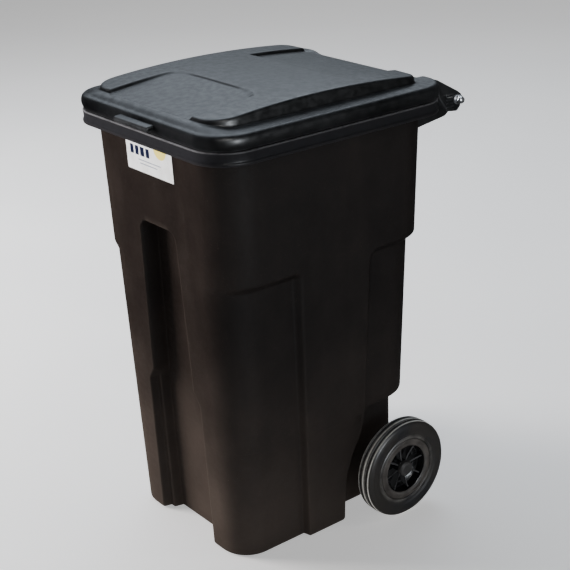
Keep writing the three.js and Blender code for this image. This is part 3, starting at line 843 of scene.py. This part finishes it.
class Graph:
    """One material's nodes, with short calls that add and join them."""

    def __init__(self, name, roughness, specular, metallic=0.0):
        self.material = bpy.data.materials.new(name)
        self.material.use_nodes = True
        self.tree = self.material.node_tree
        self.shader = self.tree.nodes["Principled BSDF"]
        self.shader.inputs["Roughness"].default_value = roughness
        self.shader.inputs["Specular IOR Level"].default_value = specular
        self.shader.inputs["Metallic"].default_value = metallic
        self.point = self.put("TexCoord").outputs["Object"]

    def put(self, kind, settings=None, inputs=None):
        made = self.tree.nodes.new("ShaderNode" + kind)
        for key, value in (settings or {}).items():
            setattr(made, key, value)
        for key, value in (inputs or {}).items():
            self.set(made.inputs[key], value)
        return made

    def set(self, socket, value):
        if isinstance(value, bpy.types.NodeSocket):
            self.tree.links.new(value, socket)
        else:
            socket.default_value = value

    def noise(self, scale, detail=3.0, point=None):
        made = self.put("TexNoise", inputs={"Vector": point or self.point, "Scale": scale, "Detail": detail})
        return made.outputs["Fac"]

    def streaks(self, detail, scale, turn=(0, 0, 0)):
        """Noise in coordinates that are turned and then stretched, for marks that run one way."""
        made = self.put("Mapping", {"vector_type": "TEXTURE"}, {
            "Vector": self.point, "Rotation": turn, "Scale": tuple(1 / v for v in scale)})
        return self.noise(1, detail, made.outputs["Vector"])

    def ramp(self, value, low, high, start=0.0, end=1.0):
        made = self.put("MapRange", {"interpolation_type": "SMOOTHSTEP"}, {
            "Value": value, "From Min": low, "From Max": high, "To Min": start, "To Max": end})
        return made.outputs["Result"]

    def maths(self, operation, *values):
        return self.put("Math", {"operation": operation, "use_clamp": operation == "ADD"},
                        dict(enumerate(values))).outputs[0]

    def times(self, one, two):
        return self.maths("MULTIPLY", one, two)

    def plus(self, one, two):
        return self.maths("ADD", one, two)

    def minus(self, one, two):
        return self.maths("SUBTRACT", one, two)

    def mix(self, factor, first, second):
        made = self.put("Mix", {"data_type": "RGBA"}, {"Factor": factor})
        for index, colour in ((6, first), (7, second)):
            self.set(made.inputs[index], (*colour, 1) if isinstance(colour, tuple) else colour)
        return made.outputs[2]

    def axis(self, name):
        return self.put("SeparateXYZ", inputs={"Vector": self.point}).outputs[name]

    def wear_and_edge_highlight(self):
        return self.put("Attribute", {"attribute_name": "wear_and_edge_highlight"}).outputs["Fac"]

    def bump(self, height, strength, distance, below=None):
        inputs = {"Height": height, "Strength": strength, "Distance": distance}
        if below is not None:
            inputs["Normal"] = below
        return self.put("Bump", inputs=inputs).outputs["Normal"]

    def use(self, colour, roughness, normal):
        self.set(self.shader.inputs["Base Color"], colour)
        self.set(self.shader.inputs["Roughness"], roughness)
        self.set(self.shader.inputs["Normal"], normal)
        return self.material


def moulded(
        name, deep, pale, scuffed, roughness, specular, scuffs, edge, low_dust_and_bounce=0.0, rim_band_with_painted_light=None, wave=0.25):
    """Moulded plastic: clouded colour, specks and scratches, pale convex edges that are rubbed wear and
    painted highlight and, where they're asked for, dust and painted floor-bounce light near the ground, and a
    cleaner, neutral black rim band lightened as painted reflection, with a painted highlight along its top
    edge."""
    g = Graph(name, roughness, specular)
    cloud, fine, patch = g.noise(6, 5), g.noise(70, 4), g.noise(17, 4)
    streak = g.streaks(3, (17, 17, 3))
    colour = g.mix(g.ramp(cloud, 0.34, 0.68), deep, pale)
    colour = g.mix(g.times(g.ramp(streak, 0.4, 0.8), 0.06), colour, scuffed)
    speck = g.times(g.ramp(g.noise(310, 2), 0.66, 0.74), g.ramp(patch, 0.42, 0.62))
    long_marks = g.ramp(g.streaks(2, (700, 700, 24), (0.5, 0.3, 0.2)), 0.68, 0.74)
    cross_marks = g.ramp(g.streaks(2, (26, 760, 760), (0.2, 0.35, 0.9)), 0.69, 0.75)
    scratch = g.times(g.plus(long_marks, cross_marks), g.ramp(patch, 0.45, 0.6))
    # Pale convex edges, scaled by edge: rubbed wear and painted highlight.
    rubbed_and_highlit = g.times(g.wear_and_edge_highlight(), g.ramp(fine, 0.3, 0.6, 0.35, 1.0))
    marks = g.plus(g.times(g.plus(speck, scratch), scuffs), g.times(rubbed_and_highlit, edge))
    # Paler towards the floor: dust and painted light bounced from the floor.
    if low_dust_and_bounce:
        low = g.ramp(g.axis("Z"), 0.62, 0.0)
        dust_and_painted_light = g.times(low, g.ramp(cloud, 0.3, 0.75, 0.7, 1.0))
        marks = g.plus(marks, g.times(dust_and_painted_light, low_dust_and_bounce))
    colour = g.mix(marks, colour, scuffed)
    rough = g.plus(g.ramp(fine, 0.3, 0.7, roughness - 0.06, roughness + 0.07), g.times(marks, 0.22))
    if rim_band_with_painted_light:
        # The rim band's own cleaner grey, lightened as painted reflection.
        rim_grey_and_reflection, line, gloss = rim_band_with_painted_light
        on_rim = g.ramp(g.axis("Z"), (rim.lip - 4) * MM, (rim.lip - 1) * MM)
        colour = g.mix(on_rim, colour, g.mix(g.times(marks, 0.5), rim_grey_and_reflection, scuffed))
        # A pale line along the rim's top edge: a painted highlight.
        top_edge_highlight = g.ramp(g.axis("Z"), (tub.top - 6) * MM, (tub.top - 4) * MM)
        top_edge_highlight = g.times(top_edge_highlight, g.ramp(g.wear_and_edge_highlight(), 0.35, 0.65))
        colour = g.mix(g.times(top_edge_highlight, g.ramp(fine, 0.3, 0.6, 0.6, 1.0)), colour, line)
        rough = g.minus(rough, g.times(on_rim, gloss))
    normal = g.bump(g.noise(8, 2), wave, 0.006)
    normal = g.bump(g.noise(900, 2), 0.16, 0.0006, normal)
    normal = g.bump(scratch, -0.25, 0.0003, normal)
    return g.use(colour, rough, normal)


def metal(name, deep, pale, roughness):
    """Plated metal: clouded brightness, dull spots and fine turning marks."""
    g = Graph(name, roughness, 0.5, metallic=1.0)
    cloud, spots = g.noise(90, 4), g.noise(600, 3)
    colour = g.mix(g.ramp(cloud, 0.35, 0.65), deep, pale)
    colour = g.mix(g.times(g.ramp(spots, 0.6, 0.72), 0.5), colour, tuple(v * 0.45 for v in deep))
    rough = g.ramp(cloud, 0.3, 0.7, roughness - 0.04, roughness + 0.08)
    rough = g.plus(rough, g.times(g.ramp(spots, 0.6, 0.72), 0.2))
    return g.use(colour, rough, g.bump(g.streaks(2, (1800, 120, 120)), 0.12, 0.0002))


def squared_distance(g, across, up, centre, height):
    """The square of the distance from a point, given in millimetres, in square metres."""
    across, up = g.minus(across, centre * MM), g.minus(up, height * MM)
    return g.plus(g.times(across, across), g.times(up, up))


def wheel_radius(g):
    """Distance from the axle's line, in metres."""
    return g.maths("SQRT", squared_distance(g, g.axis("Y"), g.axis("Z"), wheel.y, wheel.z))


def tyre_material():
    """Black rubber, with pale rib crests on the tread that are dust and painted highlight, and pale dust in
    the bead.
    """
    g = Graph("rubber", 0.5, 0.5)
    patch, fine = g.noise(32, 4), g.noise(240, 3)
    radius = wheel_radius(g)
    colour = g.mix(g.ramp(g.noise(11, 4), 0.35, 0.65), (0.022, 0.023, 0.029), (0.044, 0.039, 0.034))
    side = g.minus(g.maths("ABSOLUTE", g.axis("X")), (wheel.inner + wheel.outer) / 2 * MM)
    off = g.maths("ABSOLUTE", side)
    # Pale bands along the rib crests: dust and painted highlight.
    outer_rib = g.times(g.ramp(off, 0.0142, 0.0156), g.ramp(off, 0.0182, 0.0168))
    crest = g.plus(g.ramp(off, 0.0032, 0.0014), outer_rib)
    dust_and_painted_light = g.times(crest, g.ramp(radius, 0.1215, 0.1235))
    dust_and_painted_light = g.times(dust_and_painted_light, g.ramp(patch, 0.3, 0.55, 0.7, 1.0))
    tread = g.times(g.ramp(radius, 0.1225, 0.1242), g.ramp(fine, 0.35, 0.65, 0.04, 0.16))
    bead = g.times(g.ramp(radius, 0.092, 0.084, 0.0, 0.12), g.ramp(patch, 0.3, 0.7))
    marks = g.plus(g.plus(dust_and_painted_light, tread), bead)
    colour = g.mix(marks, colour, (0.88, 0.86, 0.79))
    rough = g.plus(g.ramp(fine, 0.3, 0.7, 0.36, 0.46), g.times(marks, 0.4))
    return g.use(colour, rough, g.bump(fine, 0.2, 0.0006, g.bump(patch, 0.2, 0.002)))


def hub_material():
    """Glossy black plastic inside the dish, and dry brown dust on the ring around it."""
    g = Graph("hub_black", 0.25, 0.5)
    patch, fine = g.noise(40, 5), g.noise(420, 3)
    radius = wheel_radius(g)
    colour = g.mix(g.ramp(patch, 0.35, 0.65), (0.006, 0.006, 0.007), (0.012, 0.012, 0.013))
    ring = g.times(g.ramp(radius, 0.0605, 0.0625), g.ramp(patch, 0.3, 0.7, 0.45, 0.95))
    # Pale blade and boss edges inside the dish: wear and painted highlight.
    rubbed_and_highlit = g.times(g.ramp(g.wear_and_edge_highlight(), 0.05, 0.5), g.ramp(radius, 0.0605, 0.0585, 0.2, 1.0))
    marks = g.plus(ring, rubbed_and_highlit)
    colour = g.mix(g.times(ring, 0.75), colour, (0.15, 0.128, 0.108))
    colour = g.mix(g.times(rubbed_and_highlit, 0.7), colour, (0.12, 0.12, 0.125))
    rough = g.plus(g.ramp(fine, 0.3, 0.7, 0.17, 0.27), g.times(marks, 0.4))
    return g.use(colour, rough, g.bump(fine, 0.15, 0.0004, g.bump(patch, 0.1, 0.002)))


def label_material():
    """White film with plain printed shapes: dark bars, a yellow disc and thin lines of grey."""
    g = Graph("label_print", 0.4, 0.1)
    across, up = g.axis("X"), g.axis("Z")

    def block(left, right, bottom, top):
        inside = [g.maths("GREATER_THAN", across, left * MM), g.maths("LESS_THAN", across, right * MM),
                  g.maths("GREATER_THAN", up, bottom * MM), g.maths("LESS_THAN", up, top * MM)]
        both = g.times(inside[0], inside[1])
        return g.times(both, g.times(inside[2], inside[3]))

    paper = g.mix(g.ramp(g.noise(35, 4), 0.35, 0.7), (0.86, 0.87, 0.88), (0.74, 0.75, 0.75))
    squared = squared_distance(g, across, up, *printed.disc_centre)
    disc = g.maths("LESS_THAN", squared, (printed.disc_radius * MM) ** 2)
    colour = g.mix(disc, paper, (0.84, 0.70, 0.16))
    for left, right in printed.bars:
        colour = g.mix(block(left, right, printed.bars_low, printed.bars_high), colour, (0.006, 0.009, 0.035))
    for left, right, bottom in printed.lines:
        colour = g.mix(block(left, right, bottom, bottom + printed.line_height), colour, (0.25, 0.28, 0.36))
    dirt = g.ramp(g.noise(260, 3), 0.62, 0.72)
    colour = g.mix(g.times(dirt, 0.35), colour, (0.25, 0.23, 0.2))
    rough = g.ramp(g.noise(90, 3), 0.3, 0.7, 0.3, 0.48)
    return g.use(colour, rough, g.bump(g.noise(55, 3), 0.12, 0.001))


def floor_material():
    """Pale studio floor with a trace of tone and tooth."""
    g = Graph("studio_floor", 0.85, 0.15)
    g.shader.inputs["Emission Color"].default_value = (1, 1, 1, 1)
    g.shader.inputs["Emission Strength"].default_value = FLOOR_GLOW
    colour = g.mix(g.ramp(g.noise(1.3, 3), 0.3, 0.7), FLOOR_PALE, FLOOR_SHADE)
    return g.use(colour, g.ramp(g.noise(4, 2), 0.3, 0.7, 0.8, 0.9), g.bump(g.noise(300, 2), 0.03, 0.0005))


# ---- camera and light

view = Dims(place=(2389.15, -1830.51, 1805.86), yaw=52.19, pitch=22.53, roll=-2.11, lens=84.41, sensor=36)

# Name, place, target and size in metres, power, colour, and whether it lights diffuse and glossy surfaces.
LIGHTS = (
    ("key", (-3.5, -2.9, 1.5), (0, 0, 0.45), (1.8, 1.8), 480, (1, 0.955, 0.92), True, False),
    ("top", (-2.0, 0.7, 4.0), (0, 0, 1.0), (4.4, 4.0), 142, (0.8, 0.89, 1), True, True),
    ("sky", (-3.6, 3.2, 2.7), (0, 0, 1.0), (3.6, 1.8), 12, (0.8, 0.9, 1), True, True),
    ("side", (3.0, 2.5, 3.2), (0, 0, 0.5), (1.3, 1.3), 20, (1, 0.95, 0.93), True, False),
    ("glint", (4.2, -0.5, 1.5), (0, 0, 0.4), (1.6, 1.6), 190, (0.9, 0.95, 1), False, True),
    ("spark", (2.4, -1.7, 3.2), (0.3, 0.1, 0.1), (0.5, 0.5), 38, (1, 0.99, 0.97), False, True))
WORLD_COLOUR, WORLD_POWER = (0.93, 0.96, 1, 1), 0.045
FLOOR_PALE, FLOOR_SHADE, FLOOR_GLOW, FLOOR_HALF = (0.86, 0.86, 0.86), (0.82, 0.82, 0.83), 0.5, 15000


def add_camera():
    """Looks down at the front corner from the right."""
    data = bpy.data.cameras.new("camera")
    data.sensor_width, data.lens = view.sensor, view.lens
    camera = bpy.data.objects.new("camera", data)
    matrix = Matrix.Translation(Vector(view.place) * MM)
    for angle, axis in ((view.yaw, "Z"), (90 - view.pitch, "X"), (view.roll, "Z")):
        matrix = matrix @ Matrix.Rotation(math.radians(angle), 4, axis)
    camera.matrix_world = matrix
    link(camera)
    bpy.context.scene.camera = camera


def light_scene():
    """Studio light: a warm key at the left, a cool ceiling, weak fills behind and two lights that glint."""
    for name, place, target, size, power, colour, diffuse, glossy in LIGHTS:
        data = bpy.data.lights.new(name, "AREA")
        data.shape, data.energy, data.color = "RECTANGLE", power, colour
        data.size, data.size_y = size
        light = bpy.data.objects.new(name, data)
        light.visible_diffuse, light.visible_glossy = diffuse, glossy
        light.location = place
        light.rotation_euler = (Vector(target) - Vector(place)).to_track_quat("-Z", "Y").to_euler()
        link(light)
    world = bpy.data.worlds.new("world")
    world.use_nodes = True
    background = world.node_tree.nodes["Background"]
    background.inputs["Color"].default_value = WORLD_COLOUR
    background.inputs["Strength"].default_value = WORLD_POWER
    bpy.context.scene.world = world


def add_floor():
    corners = [(-1, -1, 0), (1, -1, 0), (1, 1, 0), (-1, 1, 0)]
    floor = add_mesh("floor", np.array(corners) * FLOOR_HALF, [(0, 1, 2, 3)])
    floor.data.materials.append(floor_material())
    floor.visible_glossy = False


# ---- the pieces

add_camera()
light_scene()
add_floor()

tub_black = moulded(
    "tub_black", (0.0125, 0.0088, 0.0076), (0.0180, 0.0130, 0.0112), (0.1, 0.078, 0.064),
    roughness=0.66, specular=0.12, scuffs=0.3, edge=0.16, low_dust_and_bounce=0.42,
    rim_band_with_painted_light=((0.019, 0.019, 0.0222), (0.14, 0.14, 0.15), 0.25))
bracket_black = moulded(
    "bracket_black", (0.0085, 0.0085, 0.0095), (0.012, 0.012, 0.013), (0.08, 0.08, 0.085),
    roughness=0.5, specular=0.2, scuffs=0.3, edge=0.2)
lid_black = moulded(
    "lid_black", (0.0010, 0.0011, 0.0014), (0.0105, 0.0110, 0.0125), (0.11, 0.115, 0.125),
    roughness=0.38, specular=0.42, scuffs=0.07, edge=0.4, wave=0.12)
chrome = metal("bright_plate", (0.8, 0.81, 0.83), (0.94, 0.95, 0.96), 0.24)
zinc = metal("zinc_plate", (0.36, 0.36, 0.37), (0.52, 0.52, 0.53), 0.34)
nylon = moulded(
    "nylon_white", (0.5, 0.49, 0.45), (0.62, 0.6, 0.56), (0.3, 0.28, 0.25),
    roughness=0.42, specular=0.5, scuffs=0.3, edge=0.1)
cap_grey = moulded(
    "cap_grey", (0.04, 0.039, 0.038), (0.06, 0.058, 0.056), (0.17, 0.16, 0.15),
    roughness=0.5, specular=0.3, scuffs=0.4, edge=0.3)
rubber, hub_black = tyre_material(), hub_material()

finish_piece(make_tub(), tub_black, "tub_plastic", "root", "tub")
finish_piece(make_lid_shell(), lid_black, "lid_plastic", "lid", "lid")
finish_piece(sharpen(add_bodies("lid_grip", tab_body())), lid_black, "lid_plastic", "lid")
finish_piece(add_bodies("handle_grip", handle_body()), bracket_black, "tub_plastic", "root", "handle_bar")
for side, turned_over, wheel_name in (("right", False, "wheel_right"), ("left", True, "wheel_left")):
    for name, bodies, material, slot, body, nodes in (
            ("lid_arm", lid_arm_bodies(), lid_black, "lid_plastic", "lid", []),
            ("tub_bracket", [bracket_body()], bracket_black, "tub_plastic", "root", []),
            ("bright_nut", hinge_nut_bodies(), chrome, "nut_chrome", "root", ["hinge_nut"]),
            ("ribbed_tyre", [tyre_body()], rubber, "tyre_rubber", wheel_name, ["tyre"]),
            ("spoked_hub", hub_bodies(), hub_black, "hub_plastic", wheel_name, ["wheel_hub"]),
            ("domed_cap", [hub_cap_body()], cap_grey, "hub_plastic", wheel_name, ["hub_cap"])):
        own = [mirrored(b) for b in bodies] if turned_over else bodies
        piece = sharpen(add_bodies(f"{name}_{side}", *own))
        finish_piece(piece, material, slot, body, *(f"{node}_{side}" for node in nodes))

KEPT = {
    "hinge_rod": zinc, "axle": zinc, "hinge_washer": zinc, "axle_washer": zinc, "push_nut": zinc,
    "lid_bush": nylon, "wheel_bush": nylon, "axle_spacer": hub_black, "front_label": label_material()}
for name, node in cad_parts.items():
    own = KEPT.get(name.removesuffix("_right").removesuffix("_left"))
    if own:
        for cad_slot in node.material_slots:
            cad_slot.material = own
